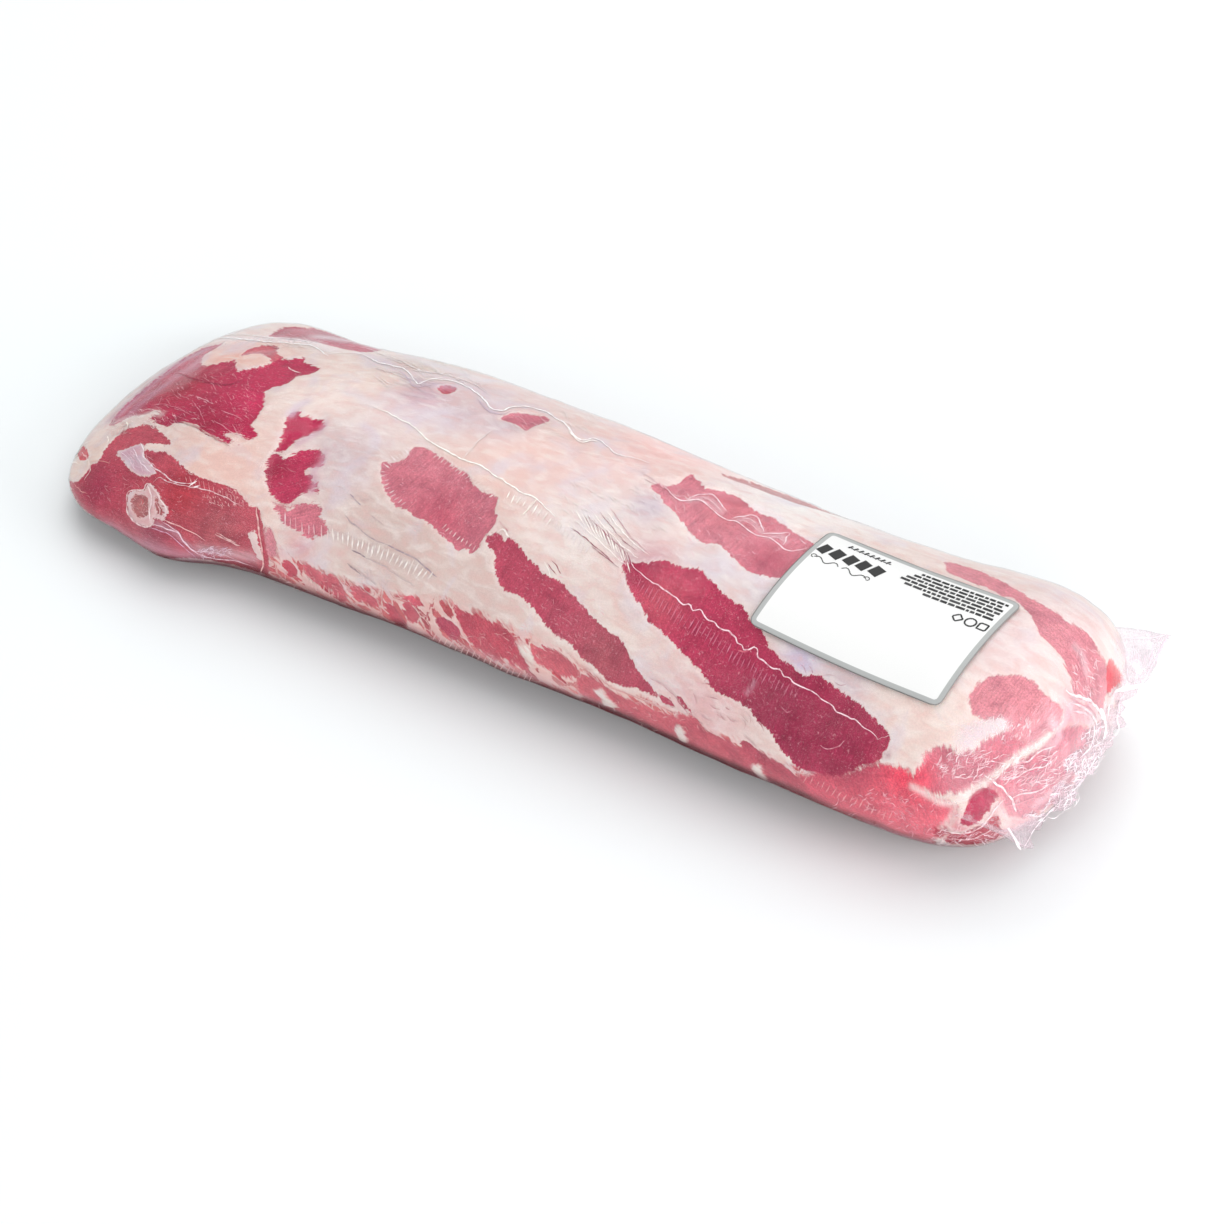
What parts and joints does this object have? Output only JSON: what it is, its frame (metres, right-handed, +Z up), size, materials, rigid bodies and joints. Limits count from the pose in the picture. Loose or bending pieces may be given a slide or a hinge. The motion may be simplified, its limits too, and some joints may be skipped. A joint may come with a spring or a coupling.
{
  "type": "vacuum-packed pork loin",
  "caption": "Whole boneless pork loin sealed in a clear vacuum bag, with a blank-style paper label on top and a crumpled sealed tail of film at one end.",
  "frame": {"origin": "on the flat underside of the pack, under the middle of the loin", "axes": "+X along the loin towards the crumpled tail of the bag, +Z up, -Y the front side"},
  "size_m": [0.5643, 0.1857, 0.095],
  "materials": {
    "bagged_meat": "clear vacuum film tight over pale fat and pink lean meat",
    "label_paper": "white printed label with a grey border, satin"
  },
  "bodies": {
    "root": {"sealed_bag": "bagged_meat", "label": "label_paper"}
  },
  "joints": []
}
